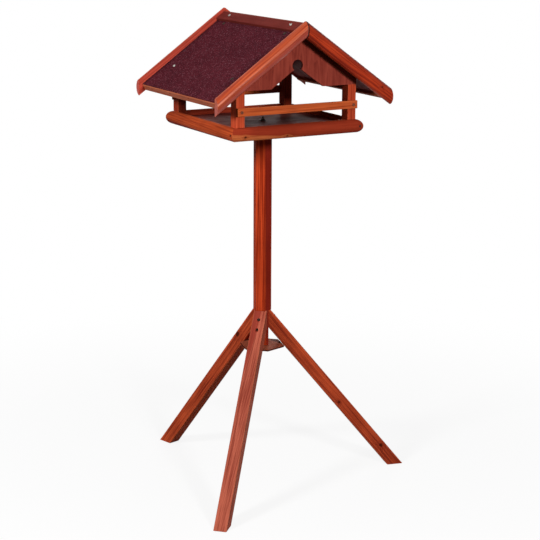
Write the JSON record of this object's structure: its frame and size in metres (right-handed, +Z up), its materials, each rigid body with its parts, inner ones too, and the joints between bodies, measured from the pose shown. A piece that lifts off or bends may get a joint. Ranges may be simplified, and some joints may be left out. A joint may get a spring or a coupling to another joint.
{
  "type": "bird table",
  "caption": "Roofed wooden bird table: an open feeding tray under a felted pitched roof, on a six-sided pole with splayed legs.",
  "frame": {"origin": "on the ground, on the axis of the pole, midway between the three feet", "axes": "+Z up along the pole's axis; the front gable and its perch rail face -Y; the ridge runs along Y; +X is to the right as seen from the front"},
  "size_m": [0.6361, 0.6432, 1.1608],
  "materials": {
    "stained_stand_timber": "softwood with a translucent red-brown stain",
    "stained_frame_timber": "planed softwood with a translucent red-brown stain",
    "stained_moulding": "smooth half-round softwood moulding, stained red-brown, slight sheen",
    "stained_plywood": "thin plywood stained red-brown, paler at its sawn edges",
    "mineral_felt": "dark red-brown roofing felt with fine mineral grit",
    "zinc_steel": "zinc-plated steel",
    "steel_pin": "plain steel, slightly dulled"
  },
  "bodies": {
    "root": {"barge_back_left": "stained_moulding", "barge_back_right": "stained_moulding", "barge_front_left": "stained_moulding", "barge_front_right": "stained_moulding", "barge_pins": "steel_pin", "batten_pins": "steel_pin", "cleat_pins": "steel_pin", "eaves_batten_left": "stained_moulding", "eaves_batten_right": "stained_moulding", "felt_left": "mineral_felt", "felt_right": "mineral_felt", "floor_cleat_left": "stained_frame_timber", "floor_cleat_right": "stained_frame_timber", "gable_back": "stained_plywood", "gable_front": "stained_plywood", "gable_pins": "steel_pin", "leg_front": "stained_stand_timber", "leg_left": "stained_stand_timber", "leg_right": "stained_stand_timber", "leg_screws": "zinc_steel", "perch_rail_back": "stained_frame_timber", "perch_rail_front": "stained_frame_timber", "perch_screws": "zinc_steel", "plate_screws": "zinc_steel", "pole": "stained_stand_timber", "post_back_left": "stained_frame_timber", "post_back_right": "stained_frame_timber", "post_front_left": "stained_frame_timber", "post_front_right": "stained_frame_timber", "post_screws": "zinc_steel", "rafter_back_left": "stained_frame_timber", "rafter_back_right": "stained_frame_timber", "rafter_front_left": "stained_frame_timber", "rafter_front_right": "stained_frame_timber", "ridge_screws": "zinc_steel", "ridge_strip_left": "stained_moulding", "ridge_strip_right": "stained_moulding", "roof_panel_left": "stained_plywood", "roof_panel_right": "stained_plywood", "roof_screws": "zinc_steel", "stand_plate": "stained_plywood", "tray_bolt": "zinc_steel", "tray_corner_screws": "zinc_steel", "tray_floor": "stained_plywood", "tray_nut": "zinc_steel", "tray_rail_back": "stained_moulding", "tray_rail_front": "stained_moulding", "tray_rail_left": "stained_moulding", "tray_rail_right": "stained_moulding", "tray_washer": "zinc_steel"}
  },
  "joints": []
}
